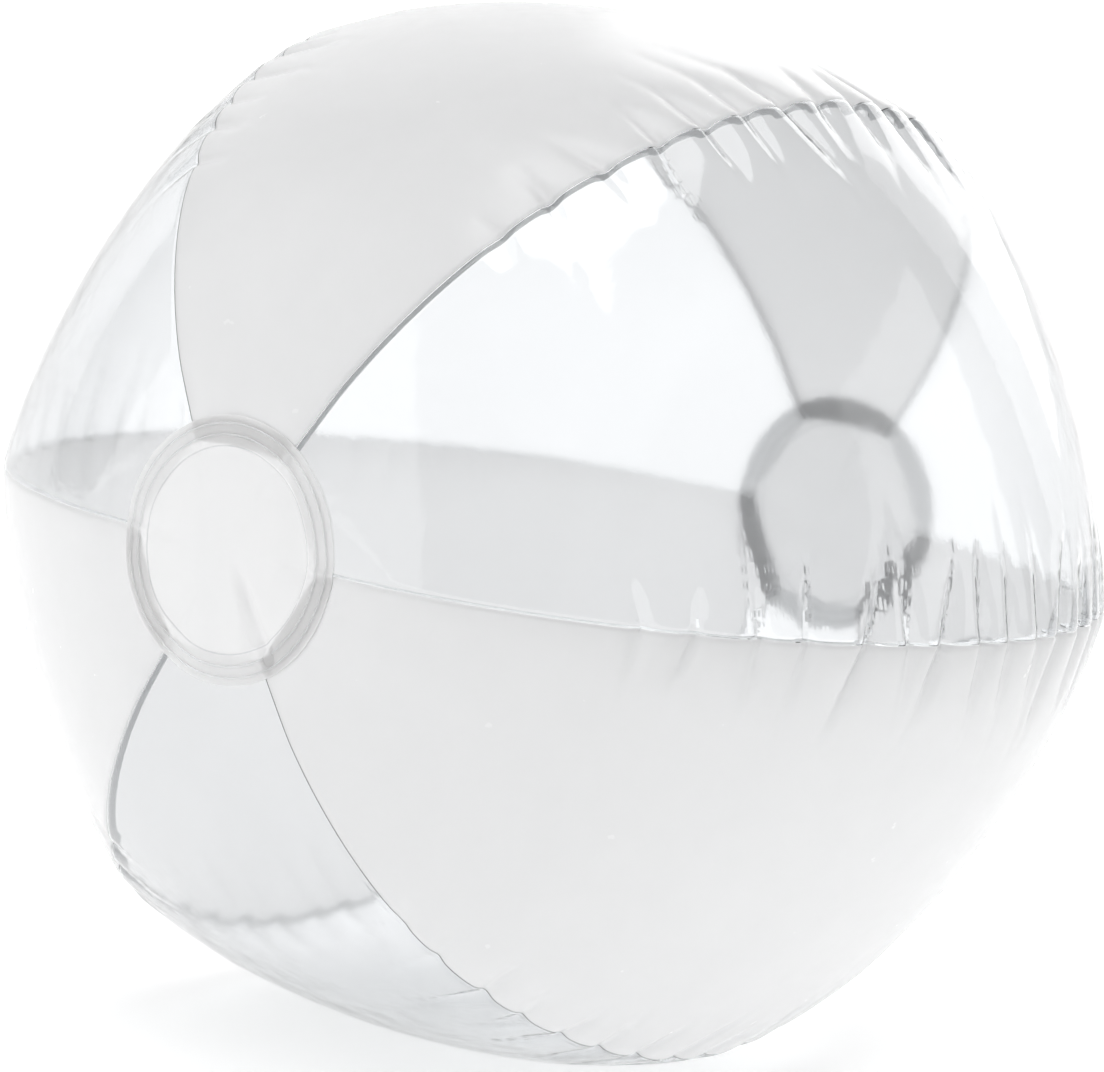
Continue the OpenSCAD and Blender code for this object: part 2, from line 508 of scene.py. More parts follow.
def grid_faces(rows, columns, first=0, flip=False, closed=False):
    """Quads of a grid of points, by index."""
    last = columns if closed else columns - 1
    i, j = np.meshgrid(np.arange(rows - 1), np.arange(last), indexing="ij")
    k = (j + 1) % columns
    quads = np.stack([i * columns + j, (i + 1) * columns + j,
                      (i + 1) * columns + k, i * columns + k], -1).reshape(-1, 4) + first
    return (quads[:, ::-1] if flip else quads).tolist()


def shell_faces(rows, columns):
    """A closed sheet: an outer grid, an inner grid after it, and the four edges."""
    total = rows * columns
    faces = grid_faces(rows, columns) + grid_faces(rows, columns, total, flip=True)
    top = np.arange(columns)
    bottom = top + (rows - 1) * columns
    left = np.arange(rows) * columns
    right = left + columns - 1
    for edge in (top, right, bottom[::-1], left[::-1]):
        a, b = edge[:-1], edge[1:]
        faces += np.stack([a, b, b + total, a + total], 1).tolist()
    return faces


# %% [markdown]
# ## Panels
# A panel is a sheet of film with two faces and four edges. At each seam the two films are welded
# face to face and the 2.5 mm allowance stands inside, so from outside a seam is a fine groove
# and through a clear panel the allowance shows as a narrow band. Each panel's film turns in at
# the groove and runs down its own side of the allowance.

# %% Rows and columns of a panel
GROOVE = 0.35 * MM
GROOVE_WIDTH = 0.6 * MM
WELD_GAP = 0.01 * MM
CORNER_SHARE = 0.8
FINE_SPAN = 116 * MM
SET_DEPTH = 1.1 * MM
SET_WIDTH = 1.7 * MM
SET_ARCH = 0.3
SEAM_STRENGTH = (1.9, 1.1, 0.5, 0.4, 0.4, 0.6)
end_run = pole_run - (disc_r - LAP)
panel_run = np.concatenate([
    np.linspace(-end_run, -FINE_SPAN, 26)[:-1],
    np.arange(-FINE_SPAN, FINE_SPAN, 0.95 * MM),
    np.linspace(FINE_SPAN, end_run, 26)])
NEAR_SEAM = np.array([0.35, 0.8, 1.5, 2.5]) * MM
inner_share = np.linspace(0, 1, 15)[1:] ** 1.25


def column_offsets(width):
    """Offsets of a panel's columns from its first seam, for each row's half width."""
    near = np.broadcast_to(NEAR_SEAM, (len(width), len(NEAR_SEAM)))
    rest = NEAR_SEAM[-1] + (width[:, None] - NEAR_SEAM[-1]) * inner_share
    half = np.concatenate([near, rest], 1)
    return np.concatenate([half, 2 * width[:, None] - half[:, -2::-1]], 1)


def panel_columns(index):
    """The grid's columns of one panel, from seam to seam."""
    wanted = np.arange(PANEL_COLUMNS + 1) + index * PANEL_COLUMNS
    return grid[:, wanted % COLUMNS]


def set_creases(seam, offset):
    """How far the creases have set in: sharp valleys over a seam, arches between them."""
    seam %= PANELS
    depth = crease_depth(panel_run[:, None], offset, creases[seam], SET_WIDTH)
    tail = np.clip((CREASE_SPAN - np.abs(panel_run)) / (15 * MM), 0, 1)[:, None]
    arch = SET_ARCH * tail * np.exp(-(np.abs(offset) / CREASE_REACH) ** 2)
    return SET_DEPTH * SEAM_STRENGTH[seam] * (depth - arch)[..., None]


def seam_edge(line, angle, towards):
    """Groove, middle and tip of the allowance along one seam, for both faces of the film."""
    sideways = np.array([-math.sin(angle), 0, math.cos(angle)]) * towards
    along = np.gradient(line, axis=0)
    inwards = np.cross(along, sideways) * towards
    inwards /= np.linalg.norm(inwards, axis=1, keepdims=True)
    inwards *= -np.sign(np.sum(inwards * line))
    seam = round(angle / (2 * HALF_PANEL))
    corner = (line + inwards * (GROOVE + set_creases(seam, np.zeros((len(line), 1)))[:, 0])
              + sideways * WELD_GAP)
    outer = [corner + inwards * ALLOWANCE * share for share in (0, 0.5, 1)]
    inner = [p + sideways * FILM for p in outer]
    inner[0] = inner[0] + inwards * FILM * CORNER_SHARE
    return outer, inner, inwards


def add_panel(name, index):
    """One panel as a closed sheet of film."""
    rows = fine_rows(panel_columns(index), panel_run)
    width = half_width(panel_run)
    offsets = column_offsets(width)
    surface = spline(rows, column_u, offsets / width[:, None] - 1)
    first = seam_edge(rows[:, 0], 2 * HALF_PANEL * index, 1)
    last = seam_edge(rows[:, -1], 2 * HALF_PANEL * (index + 1), -1)
    to_first = offsets[..., None]
    to_last = (2 * width[:, None] - offsets)[..., None]
    surface = (surface
               + first[2][:, None] * (GROOVE * np.exp(-(to_first / GROOVE_WIDTH) ** 2)
                                      + set_creases(index, to_first[..., 0]))
               + last[2][:, None] * (GROOVE * np.exp(-(to_last / GROOVE_WIDTH) ** 2)
                                     + set_creases(index + 1, -to_last[..., 0])))
    normal = np.cross(np.gradient(surface, axis=0), np.gradient(surface, axis=1))
    normal /= np.linalg.norm(normal, axis=2, keepdims=True)
    under = surface - normal * FILM

    def sheet(face, side):
        before = np.stack(first[side][::-1], 1)
        after = np.stack(last[side], 1)
        return np.concatenate([before, face, after], 1)

    outer, inner = sheet(surface, 0), sheet(under, 1)
    points = np.concatenate([outer.reshape(-1, 3), inner.reshape(-1, 3)])
    return add_mesh(name, points, shell_faces(*outer.shape[:2]))


# %% Build the six panels
PANEL_NAMES = ("right_clear_panel", "top_white_panel", "upper_left_clear_panel",
               "left_white_panel", "bottom_clear_panel", "valve_white_panel")
panels = {name: add_panel("film_" + name, i) for i, name in enumerate(PANEL_NAMES)}
print("panel vertices:", {n: len(p.data.vertices) for n, p in panels.items()})

# %% [markdown]
# ## Discs at the poles
# A disc of milky film covers the cut ends of the strips at each pole. It is pressed on with two
# ring-shaped welds, which show as fine lines, and it steps down where the strips end beneath it.
# Its material darkens both the weld lines and the step with painted shade.
# Every seam allowance under it lifts a short spoke, and handling leaves a soft fold across it.

# %% Disc surface
RING_WELDS = (27.4 * MM, 30.1 * MM)
WELD_HEIGHT = 0.3 * MM
WELD_WIDTH = 0.28 * MM
STRIP_END_R = disc_r - LAP
SPOKE_HEIGHT = 0.12 * MM
SPOKE_WIDTH = 0.9 * MM
FOLD_DEPTH = 1.1 * MM
FOLD_WIDTH = 2.0 * MM
WAVE_HEIGHT = 0.12 * MM
WAVE_LENGTH = 19 * MM
DISC_SPOKES = 240
disc_rings = np.unique(np.concatenate([
    np.linspace(0.6 * MM, 23 * MM, 24), np.linspace(23 * MM, 31.6 * MM, 58),
    np.linspace(31.6 * MM, disc_r, 3)]))


def run_at(radius):
    """Run from the equator at which the crown line is this far from the polar axis."""
    bend = np.arccos(np.clip((radius - flat_r) / shoulder_r, -1, 1))
    outside = equator_run + shoulder_r * (bend - join_angle)
    return np.where(radius < WELD_R, weld_run + WELD_R - radius, outside)


def skin_at(runs, turns):
    """Points of the skin where each run from the equator meets each angle round the axis."""
    rows = fine_rows(grid, runs)
    angles = np.concatenate([HALF_PANEL * (column_u[:-1] + 2 * p + 1) for p in range(PANELS)])
    pad = 8
    knots = np.concatenate([angles[-pad:] - 2 * math.pi, angles, angles[:pad] + 2 * math.pi])
    padded = np.concatenate([rows[:, -pad:], rows, rows[:, :pad]], 1)
    return spline(padded, knots, np.broadcast_to(turns, (len(runs), len(turns))))


def disc_relief(radius, turns):
    """Height of a disc's face above the skin's outer face."""
    step = np.clip((radius - STRIP_END_R + 0.5 * MM) / (1 * MM), 0, 1)
    height = DISC_REST_GAP + FILM * step * step * (3 - 2 * step) - FILM
    for ring in RING_WELDS:
        height = height + WELD_HEIGHT * np.exp(-((radius - ring) / WELD_WIDTH) ** 2)
    to_seam = (turns / (2 * HALF_PANEL) + 0.5) % 1 - 0.5
    aside = radius * 2 * HALF_PANEL * to_seam
    on_strip = np.clip((radius - STRIP_END_R) / (1.5 * MM), 0, 1)
    return height + SPOKE_HEIGHT * on_strip * np.exp(-(aside / SPOKE_WIDTH) ** 2)


def add_disc(name, side, fold_turn):
    """One pole disc as a closed sheet that lies on the strips' ends."""
    turns = np.arange(DISC_SPOKES) * 2 * math.pi / DISC_SPOKES
    surface = skin_at(side * run_at(disc_rings), turns)
    radius, spoke = disc_rings[:, None], turns[None]
    surface[..., 0] = radius * np.cos(spoke)
    surface[..., 2] = radius * np.sin(spoke)
    along = radius * np.cos(spoke - fold_turn)
    across = radius * np.sin(spoke - fold_turn)
    fold = np.exp(-((across - 2 * MM) / FOLD_WIDTH) ** 2) * np.clip(along / (12 * MM), 0, 1)
    fade = np.clip((disc_r - radius) / (8 * MM), 0, 1)
    wave = (np.sin(along / WAVE_LENGTH * 7 + 1)
            + np.sin(across / WAVE_LENGTH * 9 + along / WAVE_LENGTH * 3))
    relief = disc_relief(radius, spoke) + (WAVE_HEIGHT * wave - FOLD_DEPTH * fold) * fade
    outwards = np.array([0, side, 0])
    inner = surface + outwards * (relief + FILM)[..., None]
    outer = inner + outwards * FILM
    poles = [outer[0].mean(0), inner[0].mean(0)]
    rings = len(disc_rings)
    total = rings * DISC_SPOKES
    faces = (grid_faces(rings, DISC_SPOKES, 0, side > 0, True)
             + grid_faces(rings, DISC_SPOKES, total, side < 0, True))
    near = np.arange(DISC_SPOKES)
    far = (near + 1) % DISC_SPOKES
    flip = -side
    rim = total - DISC_SPOKES
    edge = np.stack([rim + near, rim + total + near, rim + total + far, rim + far], 1)
    faces += edge[:, ::flip].tolist()
    for start, pole, way in ((0, 2 * total, flip), (total, 2 * total + 1, -flip)):
        faces += np.stack([near + start, far + start, 0 * near + pole], 1)[:, ::way].tolist()
    points = np.concatenate([outer.reshape(-1, 3), inner.reshape(-1, 3), poles])
    return add_mesh(name, points, faces)


# %% Build both discs
discs = {"front_disc": add_disc("film_front_disc", -1, math.radians(-58)),
         "rear_disc": add_disc("film_rear_disc", 1, math.radians(70))}
print("disc vertices:", [len(d.data.vertices) for d in discs.values()])

# %% [markdown]
# ## Valve
# A push-in valve sits on the shoulder at the rear. A flange is welded under the film round a hole,
# and a soft skirt, one moulding with it, carries the stem inside the ball. The stem's bore takes
# a plug on a short strap, and a film flap at its foot keeps the air in while the plug is out. To
# blow the ball up the stem is pulled out, which turns the skirt inside out.

# %% Valve frame
flap_joint = next(j for j in frame["joints"] if j["name"] == "flap_hinge")
valve_y = Vector(flap_joint["axis"]).normalized()
valve_x = valve_y.cross(valve_axis).normalized()
valve_turn = Matrix((valve_x, valve_y, valve_axis)).transposed()
valve_place = Matrix.Translation(valve_centre) @ valve_turn.to_4x4()
VALVE_SLOPE = math.asin(valve_axis.y)
VALVE_CROSS_R = (flat_r + shoulder_r * math.cos(VALVE_SLOPE) - barrel_axis) / math.cos(VALVE_SLOPE)


def reach_of(node):
    """Largest radius, lowest and highest place of a node, measured in the valve's frame."""
    inverse = valve_place.inverted()
    local = np.array([inverse @ v.co for v in frame["nodes"][node].data.vertices])
    return np.hypot(local[:, 0], local[:, 1]).max(), local[:, 2].min(), local[:, 2].max()


def film_drop(x, y):
    """How far the film falls away from the valve's own plane, at a point beside its axis."""
    return x * x / (2 * shoulder_r) + y * y / (2 * VALVE_CROSS_R)


for node in ("valve_base", "valve_stem", "valve_plug", "plug_strap", "non_return_flap"):
    print(node, "radius, low, high in mm:", [round(v / MM, 2) for v in reach_of(node)])

# %% Turned shapes
VALVE_SPOKES = 96


def turned(profile, spokes=VALVE_SPOKES, closed=True):
    """Points and faces of a profile, given in mm, turned about the valve's axis."""
    angle = np.arange(spokes) * 2 * math.pi / spokes
    radius = np.array([p[0] for p in profile])[:, None] * MM
    height = np.array([p[1] for p in profile])[:, None] * MM
    points = np.stack([radius * np.cos(angle), radius * np.sin(angle),
                       height + 0 * angle], -1)
    rows = len(profile)
    faces = grid_faces(rows, spokes, 0, False, True)
    points = points.reshape(-1, 3)
    near = np.arange(spokes)
    far = (near + 1) % spokes
    if closed:
        last = (rows - 1) * spokes
        faces += np.stack([last + near, near, far, last + far], 1).tolist()
    else:
        ends = [points[:spokes].mean(0), points[-spokes:].mean(0)]
        points = np.concatenate([points, ends])
        total, last = rows * spokes, (rows - 1) * spokes
        faces += np.stack([0 * near + total, near, far], 1).tolist()
        faces += np.stack([last + near, 0 * near + total + 1, last + far], 1).tolist()
    return points, faces


def rounded(profile, radius, steps=4):
    """A profile in mm with each marked corner replaced by an arc-like curve."""
    out = []
    count = len(profile)
    for i, (x, z, *mark) in enumerate(profile):
        here = np.array([x, z], float)
        if not mark:
            out.append((x, z))
            continue
        before = np.array(profile[i - 1][:2], float)
        after = np.array(profile[(i + 1) % count][:2], float)
        size = min(mark[0] * radius, np.linalg.norm(before - here) * 0.45,
                   np.linalg.norm(after - here) * 0.45)
        a = here + (before - here) / np.linalg.norm(before - here) * size
        b = here + (after - here) / np.linalg.norm(after - here) * size
        for t in np.linspace(0, 1, steps + 1):
            p = (1 - t) ** 2 * a + 2 * t * (1 - t) * here + t * t * b
            out.append((p[0], p[1]))
    return out


def place_valve(points):
    """Points from the valve's frame into the ball's."""
    return np.asarray(points) @ np.array(valve_turn).T + np.array(valve_centre)


# %% Flange and skirt
MOUTH_R, STEM_R, SKIRT_T, FOOT_GAP = 8.5, 3.8, 0.6, 0.3
flange_r, skirt_low, _ = reach_of("valve_base")
SKIRT_TOP = -1.4


def skirt_line(offset, steps=22):
    """One face of the skirt, from below the mouth down to its foot."""
    low, foot = skirt_low / MM, STEM_R + FOOT_GAP
    share = np.linspace(0, 1, steps)
    radius = MOUTH_R - SKIRT_T + (foot - MOUTH_R + SKIRT_T) * share
    radius = radius + 0.35 * np.sin(share * math.pi) + 0.1 * np.sin(share * 14 * math.pi)
    return list(zip(radius + offset, SKIRT_TOP + (low - SKIRT_TOP) * share))


film_under = -FILM / MM - 0.02
flange_edge = flange_r / MM
flange_profile = rounded(
    [(MOUTH_R - SKIRT_T, -0.6, 1), (MOUTH_R - 0.2, film_under, 1)]
    + [(MOUTH_R + 1.5, film_under), (flange_edge - 1.6, film_under)]
    + [(flange_edge, film_under, 1), (flange_edge, film_under - 0.55, 1)]
    + [(MOUTH_R + 1.6, film_under - 0.8), (MOUTH_R + 0.1, SKIRT_TOP - 0.2, 1)]
    + skirt_line(SKIRT_T)[1:] + skirt_line(0)[::-1], 0.35)
points, faces = turned(flange_profile[::-1])
level = np.clip((points[:, 2] / MM + 3.5) / 2, 0, 1)
points[:, 2] -= film_drop(points[:, 0], points[:, 1]) * level
skirt = add_mesh("valve_flange_and_skirt", place_valve(points), faces)

# %% Stem
_, stem_low, stem_high = reach_of("valve_stem")
BORE_R = 2.6
top, low = stem_high / MM, stem_low / MM
stem_profile = rounded(
    [(BORE_R, low, 1), (STEM_R - 0.1, low, 1), (STEM_R - 0.1, low + 1.2, 1), (STEM_R, low + 1.5)]
    + [(STEM_R, top - 4.2), (STEM_R - 0.25, top - 4.0), (STEM_R - 0.25, top - 3.4)]
    + [(STEM_R, top - 3.2), (STEM_R, top - 1.2), (STEM_R - 0.15, top - 1.0, 1)]
    + [(STEM_R, top - 0.8, 1), (STEM_R, top, 2), (BORE_R + 0.35, top, 1), (BORE_R, top - 0.5, 1)],
    0.3)
points, faces = turned(stem_profile[::-1])
stem = add_mesh("valve_stem_tube", place_valve(points), faces)

# %% Plug
HEAD_R, SPIGOT_R = 4.6, BORE_R - 0.05
_, plug_low, _ = reach_of("valve_plug")
seat, tip = stem_high / MM, plug_low / MM
head = 1.8
ring_low, ring_high = seat - 3.6, seat - 1.8
plug_profile = rounded(
    [(0.05, tip), (SPIGOT_R - 0.7, tip, 1), (SPIGOT_R - 0.06, tip + 1, 1)]
    + [(SPIGOT_R - 0.06, ring_low - 0.5), (SPIGOT_R, ring_low), (SPIGOT_R - 0.06, ring_low + 0.5)]
    + [(SPIGOT_R - 0.06, ring_high - 0.5), (SPIGOT_R, ring_high), (SPIGOT_R - 0.06, ring_high + 0.5)]
    + [(SPIGOT_R - 0.1, seat + 0.02), (HEAD_R, seat + 0.02, 1), (HEAD_R, seat + 1.25, 2)]
    + [(HEAD_R - 1.1, seat + head - 0.12, 1), (HEAD_R - 1.5, seat + head - 0.4)]
    + [(HEAD_R - 2.1, seat + head - 0.4), (HEAD_R - 2.5, seat + head - 0.1), (0.05, seat + head)],
    0.35)
points, faces = turned(plug_profile[::-1], closed=False)
rib_x, rib_y = HEAD_R - 1, 0.6
rib_line = [(-rib_x, 0), (-rib_x * 0.8, 0.75), (-rib_x * 0.4, 0.97), (0, 1.0),
            (rib_x * 0.4, 0.97), (rib_x * 0.8, 0.75), (rib_x, 0)]
rib = []
for x, z in rib_line:
    thin = rib_y * (1 - 0.35 * z)
    for y in (-rib_y, -thin, -thin * 0.6, thin * 0.6, thin, rib_y):
        lift = -0.5 if abs(y) == rib_y else z - 0.06 if abs(y) == thin else z
        rib.append((x, y, seat + head + lift))
rib_faces = grid_faces(len(rib_line), 6, len(points), False, True)
rib_faces += [[len(points) + k for k in range(6)],
              [len(points) + 6 * (len(rib_line) - 1) + k for k in range(5, -1, -1)]]
plug = add_mesh("valve_plug_body", place_valve(np.concatenate([points, np.array(rib) * MM])),
                faces + rib_faces)

# %% Strap
STRAP_R, STRAP_WIDE, STRAP_T = 1.7, 3.0, 0.8
bend_z = seat + head / 2 - STRAP_R
section = [(-0.5, 0.3), (-0.42, 0.45), (0.42, 0.45), (0.5, 0.3),
           (0.5, -0.3), (0.42, -0.45), (-0.42, -0.45), (-0.5, -0.3)]
strap_path = [(HEAD_R - 0.5, bend_z + STRAP_R, math.pi / 2)]
for angle in np.linspace(math.pi / 2, -math.pi / 2, 19):
    strap_path.append((HEAD_R + STRAP_R * math.cos(angle), bend_z + STRAP_R * math.sin(angle),
                       angle))
strap_path.append((STEM_R + 0.05, bend_z - STRAP_R, -math.pi / 2))
strap_points = []
for x, z, angle in strap_path:
    for wide, thick in section:
        grow = thick * STRAP_T / 0.9
        strap_points.append((x + grow * math.cos(angle), wide * STRAP_WIDE,
                             z + grow * math.sin(angle)))
strap_faces = grid_faces(len(strap_path), 8, 0, False, True)
strap_faces += [[k for k in range(8)],
                [8 * (len(strap_path) - 1) + k for k in range(7, -1, -1)]]
strap = add_mesh("valve_plug_strap", place_valve(np.array(strap_points) * MM), strap_faces)

# %% Flap
_, flap_low, flap_high = reach_of("non_return_flap")
low, high = flap_low / MM, flap_high / MM
flap_profile = rounded(
    [(0.05, high), (STEM_R - 1.1, high), (STEM_R - 0.9, high - 0.05), (STEM_R - 0.3, high)]
    + [(STEM_R, high, 1), (STEM_R, low, 1), (0.05, low)], 0.12)
points, faces = turned(flap_profile, closed=False)
flap = add_mesh("valve_film_flap", place_valve(points), faces)
print("valve pieces:", [o.name for o in (skirt, stem, plug, strap, flap)])

# %% [markdown]
# ## Hole for the valve
# The film is punched out over the valve's mouth, and the flange weld prints a ring into it. The
# film is first divided more finely there, then cut with an exact Boolean.

# %% Punch the film
PRINT_R = 11.6 * MM
PRINT_DEPTH = 0.14 * MM
REFINE_R = 17 * MM
valve_film = panels["valve_white_panel"]


def refine(piece, centre, radius, cuts):
    """Divides the faces of a piece that lie near a point."""
    work = bmesh.new()
    work.from_mesh(piece.data)
    near = [e for e in work.edges if all((v.co - centre).length < radius for v in e.verts)]
    bmesh.ops.subdivide_edges(work, edges=near, cuts=cuts, use_grid_fill=True, smooth=0)
    for v in work.verts:
        offset = v.co - centre
        height = offset.dot(valve_axis)
        beside = (offset - valve_axis * height).length
        v.co -= valve_axis * PRINT_DEPTH * math.exp(-((beside - PRINT_R) / (0.5 * MM)) ** 2)
    work.to_mesh(piece.data)
    work.free()


refine(valve_film, valve_centre, REFINE_R, 2)
points, faces = turned([(0.05, 3), (MOUTH_R, 3), (MOUTH_R, -2), (0.05, -2)], closed=False)
punch = add_mesh("punch", place_valve(points), faces)
cut = valve_film.modifiers.new("punch", "BOOLEAN")
cut.operation = "DIFFERENCE"
cut.solver = "EXACT"
cut.object = punch
bpy.context.view_layer.update()
evaluated = valve_film.evaluated_get(bpy.context.evaluated_depsgraph_get())
cut_mesh = bpy.data.meshes.new_from_object(evaluated)
valve_film.modifiers.clear()
valve_film.data = cut_mesh
cut_mesh.set_sharp_from_angle(angle=math.radians(40))
bpy.data.objects.remove(punch)
print("valve panel vertices:", len(cut_mesh.vertices))

# %% [markdown]
# ## Materials
# The white panels are calendered PVC film: glossy, slightly uneven like orange peel, and a little
# translucent. The clear panels are the same film without pigment. The discs carry less pigment,
# so they look milky. The valve is moulded from a stiffer, satin grade of soft PVC.


# %% Node helper
def linear(code):
    """A colour written as sRGB hex, as linear values with alpha."""
    shares = [int(code[i:i + 2], 16) / 255 for i in (1, 3, 5)]
    return [s / 12.92 if s <= 0.04045 else ((s + 0.055) / 1.055) ** 2.4 for s in shares] + [1]


def add_node(tree, kind, settings=None, **inputs):
    """Adds a node; its inputs take values or other nodes' outputs by socket name."""
    node = tree.nodes.new(kind)
    for key, value in (settings or {}).items():
        setattr(node, key, value)
    for key, value in inputs.items():
        name = key.replace("_", " ")
        socket = node.inputs[int(name[1:])] if name[1:].isdigit() else node.inputs[name]
        if isinstance(value, bpy.types.NodeSocket):
            tree.links.new(value, socket)
        else:
            socket.default_value = value
    return node


def new_material(name):
    """An empty node material and its tree."""
    material = bpy.data.materials.new(name)
    material.use_nodes = True
    material.node_tree.nodes.clear()
    return material, material.node_tree


def noise(tree, size, detail=2.0):
    """Noise whose pattern is this many metres across, in the ball's own coordinates."""
    place = add_node(tree, "ShaderNodeTexCoord")
    return add_node(tree, "ShaderNodeTexNoise", Vector=place.outputs["Object"],
                    Scale=1 / size, Detail=detail)


def bumps(tree, *layers):
    """Bump of several noise layers, each given as size, height and detail."""
    normal = None
    for size, height, detail in layers:
        pattern = noise(tree, size, detail)
        bump = add_node(tree, "ShaderNodeBump", Height=pattern.outputs["Fac"], Distance=height,
                        Strength=1.0)
        if normal is not None:
            tree.links.new(normal, bump.inputs["Normal"])
        normal = bump.outputs["Normal"]
    return normal


def end(tree, shader):
    """Links a shader to the material's surface."""
    add_node(tree, "ShaderNodeOutputMaterial", Surface=shader)


# %% White film
PEEL = ((9 * MM, 0.05 * MM, 1), (2.2 * MM, 0.012 * MM, 2))


def painted_ring_shade(tree, colour):
    """Paints shade into a colour as thin darker rings round the polar axis: the weld grooves and the step over the
    strips' ends.
    """
    place = add_node(tree, "ShaderNodeTexCoord")
    flat = add_node(tree, "ShaderNodeVectorMath", {"operation": "MULTIPLY"},
                    _0=place.outputs["Object"], _1=(1, 0, 1))
    radius = add_node(tree, "ShaderNodeVectorMath", {"operation": "LENGTH"}, _0=flat.outputs[0])
    share = None
    # Painted shade at the step over the strips' ends and in the two weld grooves.
    for ring in (STRIP_END_R,) + RING_WELDS:
        away = add_node(tree, "ShaderNodeMath", {"operation": "SUBTRACT"},
                        _0=radius.outputs["Value"], _1=ring)
        size = add_node(tree, "ShaderNodeMath", {"operation": "ABSOLUTE"}, _0=away.outputs[0])
        line = add_node(tree, "ShaderNodeMapRange", Value=size.outputs[0], From_Max=0.35 * MM,
                        To_Min=1.0, To_Max=0.0)
        if share is None:
            share = line.outputs[0]
        else:
            share = add_node(tree, "ShaderNodeMath", {"operation": "MAXIMUM"},
                             _0=share, _1=line.outputs[0]).outputs[0]
    mixed = add_node(tree, "ShaderNodeMix", {"data_type": "RGBA"})
    tree.links.new(share, mixed.inputs["Factor"])
    tree.links.new(colour, mixed.inputs[6])
    # Grey of the painted shade in the rings.
    mixed.inputs[7].default_value = linear("#C9CACC")
    return mixed.outputs[2]


def white_film(name, low, high, light_path, rings=False):
    """Pigmented soft PVC film, calendered to a gloss. Light goes light_path between scatters,
    which is longer than the film is thick, so the film glows when it is lit from behind."""
    material, tree = new_material(name)
    cloud = noise(tree, 30 * MM, 3)
    colour = add_node(tree, "ShaderNodeValToRGB", Fac=cloud.outputs["Fac"])
    colour.color_ramp.elements[0].color = linear(low)
    colour.color_ramp.elements[0].position = 0.3
    colour.color_ramp.elements[1].color = linear(high)
    colour.color_ramp.elements[1].position = 0.7
    streak = noise(tree, 5 * MM, 3)
    rough = add_node(tree, "ShaderNodeMapRange", Value=streak.outputs["Fac"])
    rough.inputs["To Min"].default_value = 0.2
    rough.inputs["To Max"].default_value = 0.3
    normal = bumps(tree, *PEEL)
    # On the discs, thin rings of painted shade darken the film's colour.
    tone = painted_ring_shade(tree, colour.outputs[0]) if rings else colour.outputs[0]
    shader = add_node(tree, "ShaderNodeBsdfPrincipled", IOR=1.53, Base_Color=tone,
                      Roughness=rough.outputs[0], Normal=normal)
    shader.inputs["Subsurface Weight"].default_value = 1
    shader.inputs["Subsurface Radius"].default_value = (1, 1, 1)
    shader.inputs["Subsurface Scale"].default_value = light_path
    end(tree, shader.outputs[0])
    return material


white_pvc = white_film("soft_pvc_film_white_calendered", "#EDEDEE", "#F1F1F2", 1.9 * MM)
# The discs' film carries rings of painted shade at its welds and over the strips' ends.
disc_pvc = white_film("soft_pvc_film_milky_calendered", "#F3F3F4", "#F7F7F8", 1.3 * MM,
                      rings=True)


# %% Clear film
def clear_film(name):
    """Unpigmented soft PVC film: it reflects like the white film and lets nearly all light by."""
    material, tree = new_material(name)
    normal = bumps(tree, *PEEL)
    shader = add_node(tree, "ShaderNodeBsdfPrincipled", IOR=1.53, Roughness=0.06, Normal=normal)
    shader.inputs["Base Color"].default_value = linear("#F3F4F5")
    shader.inputs["Transmission Weight"].default_value = 1
    lamps = add_node(tree, "ShaderNodeLightPath")
    through = add_node(tree, "ShaderNodeBsdfTransparent", Color=linear("#FAFBFB"))
    mixed = add_node(tree, "ShaderNodeMixShader", Fac=lamps.outputs["Is Shadow Ray"],
                     _1=shader.outputs[0], _2=through.outputs[0])
    end(tree, mixed.outputs[0])
    return material


clear_pvc = clear_film("soft_pvc_film_clear_calendered")


# %% Moulded valve
def moulded(name, colour):
    """Injection-moulded soft PVC with a satin, slightly grainy skin."""
    material, tree = new_material(name)
    grain = noise(tree, 0.6 * MM, 3)
    rough = add_node(tree, "ShaderNodeMapRange", Value=grain.outputs["Fac"])
    rough.inputs["To Min"].default_value = 0.34
    rough.inputs["To Max"].default_value = 0.46
    normal = bumps(tree, (0.5 * MM, 0.008 * MM, 3), (4 * MM, 0.02 * MM, 1))
    shader = add_node(tree, "ShaderNodeBsdfPrincipled", IOR=1.53, Roughness=rough.outputs[0],
                      Normal=normal)
    shader.inputs["Base Color"].default_value = linear(colour)
    shader.inputs["Subsurface Weight"].default_value = 0.1
    shader.inputs["Subsurface Radius"].default_value = (1, 0.9, 0.8)
    shader.inputs["Subsurface Scale"].default_value = 1 * MM
    end(tree, shader.outputs[0])
    return material


valve_pvc = moulded("soft_pvc_injection_moulded_white", "#E4E5E6")
print("materials:", [m.name for m in (white_pvc, clear_pvc, disc_pvc, valve_pvc)])

# %% [markdown]
# ## Onto the frame
# Every piece takes its material and slot and hides the frame node that it stands for. Most ride
# with the body that moves them; the skirt and the strap stay where they are built, on no body.


# %% Attach
def attach(piece, material, node):
    """Gives a piece its material and slot, and hides the frame node that it stands for."""
    piece.data.materials.clear()
    piece.data.materials.append(material)
    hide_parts(node)


for name, panel in panels.items():
    clear = "clear" in name
    attach(panel, clear_pvc if clear else white_pvc, name)
    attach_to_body(panel, "ball")
for name, disc in discs.items():
    attach(disc, disc_pvc, name)
    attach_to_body(disc, "ball")
attach(skirt, valve_pvc, "valve_base")
attach(stem, valve_pvc, "valve_stem")
attach(plug, valve_pvc, "valve_plug")
attach(strap, valve_pvc, "plug_strap")
attach(flap, disc_pvc, "non_return_flap")
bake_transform(skirt)
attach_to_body(stem, "stem")
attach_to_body(plug, "plug")
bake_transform(strap)
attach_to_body(flap, "flap")

# %% [markdown]
# ## Floor and light
# A white sweep under and behind the ball, lit by a white sky and four soft boxes. The boxes are
# what the gloss of the film shows.


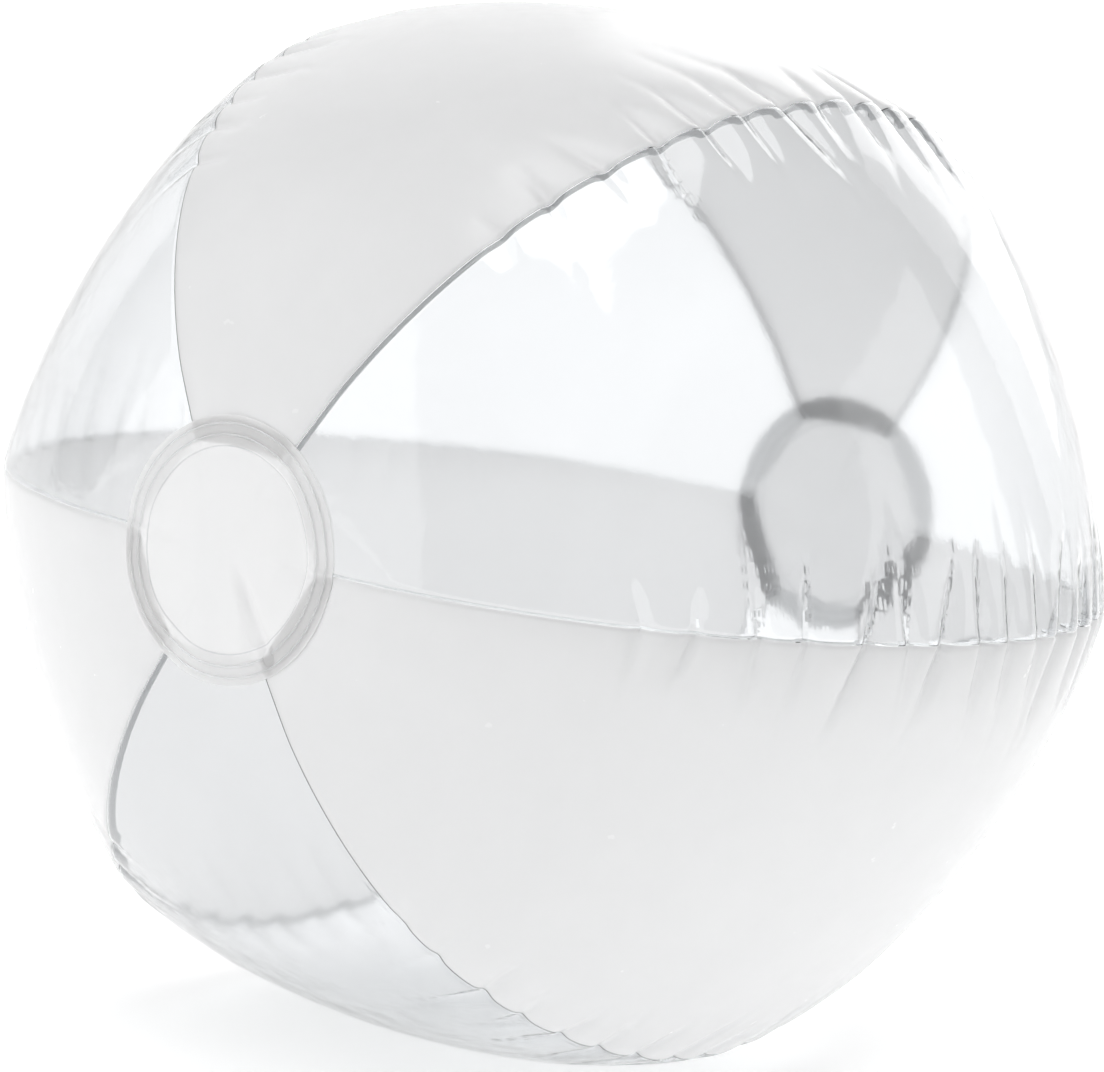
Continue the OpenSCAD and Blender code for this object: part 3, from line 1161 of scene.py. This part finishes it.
# %% Floor
def add_floor():
    """A white floor that curves up into a wall behind the ball."""
    half, back, high, bend = 4.0, 3.0, 4.0, 1.2
    line = [(-5.0, 0.0), (back - bend, 0.0)]
    for step in range(1, 17):
        angle = step / 16 * math.pi / 2
        line.append((back - bend + bend * math.sin(angle), bend - bend * math.cos(angle)))
    line.append((back, high))
    azimuth = Matrix.Rotation(CAMERA_AZIMUTH, 3, "Z")
    points = [azimuth @ Vector((x, y, 0)) + Vector((0, 0, floor_z + z - 0.1 * MM))
              for y, z in line for x in (half, -half)]
    floor = add_mesh("studio_sweep", [tuple(p) for p in points], grid_faces(len(line), 2))
    material, tree = new_material("matt_paper_sweep_white")
    shader = add_node(tree, "ShaderNodeBsdfPrincipled", Roughness=0.9,
                      Base_Color=linear("#F0F0F0"))
    shader.inputs["Emission Color"].default_value = linear("#FFFFFF")
    shader.inputs["Emission Strength"].default_value = 0.36
    end(tree, shader.outputs[0])
    floor.data.materials.append(material)


add_floor()


# %% Lights
def add_soft_box(name, azimuth, elevation, distance, size, watts):
    """A square area light aimed at the ball."""
    light = bpy.data.lights.new(name, "AREA")
    light.size = size
    light.energy = watts
    box = bpy.data.objects.new(name, light)
    bpy.context.scene.collection.objects.link(box)
    azimuth, elevation = math.radians(azimuth), math.radians(elevation)
    back = Vector((math.sin(azimuth) * math.cos(elevation),
                   -math.cos(azimuth) * math.cos(elevation), math.sin(elevation)))
    box.location = back * distance
    box.rotation_euler = back.to_track_quat("Z", "Y").to_euler()


add_soft_box("box_overhead", 20, 75, 2.4, 2.2, 27)
add_soft_box("box_left", -32, 22, 2.4, 2.8, 16)
add_soft_box("box_right", 130, 20, 2.6, 1.6, 5)
add_soft_box("box_back", 195, 28, 2.7, 2.0, 12)
world = bpy.data.worlds.new("white_sky")
bpy.context.scene.world = world
world.use_nodes = True
world.node_tree.nodes["Background"].inputs["Color"].default_value = linear("#FFFFFF")
world.node_tree.nodes["Background"].inputs["Strength"].default_value = 0.44
bpy.context.scene.view_settings.view_transform = "Standard"
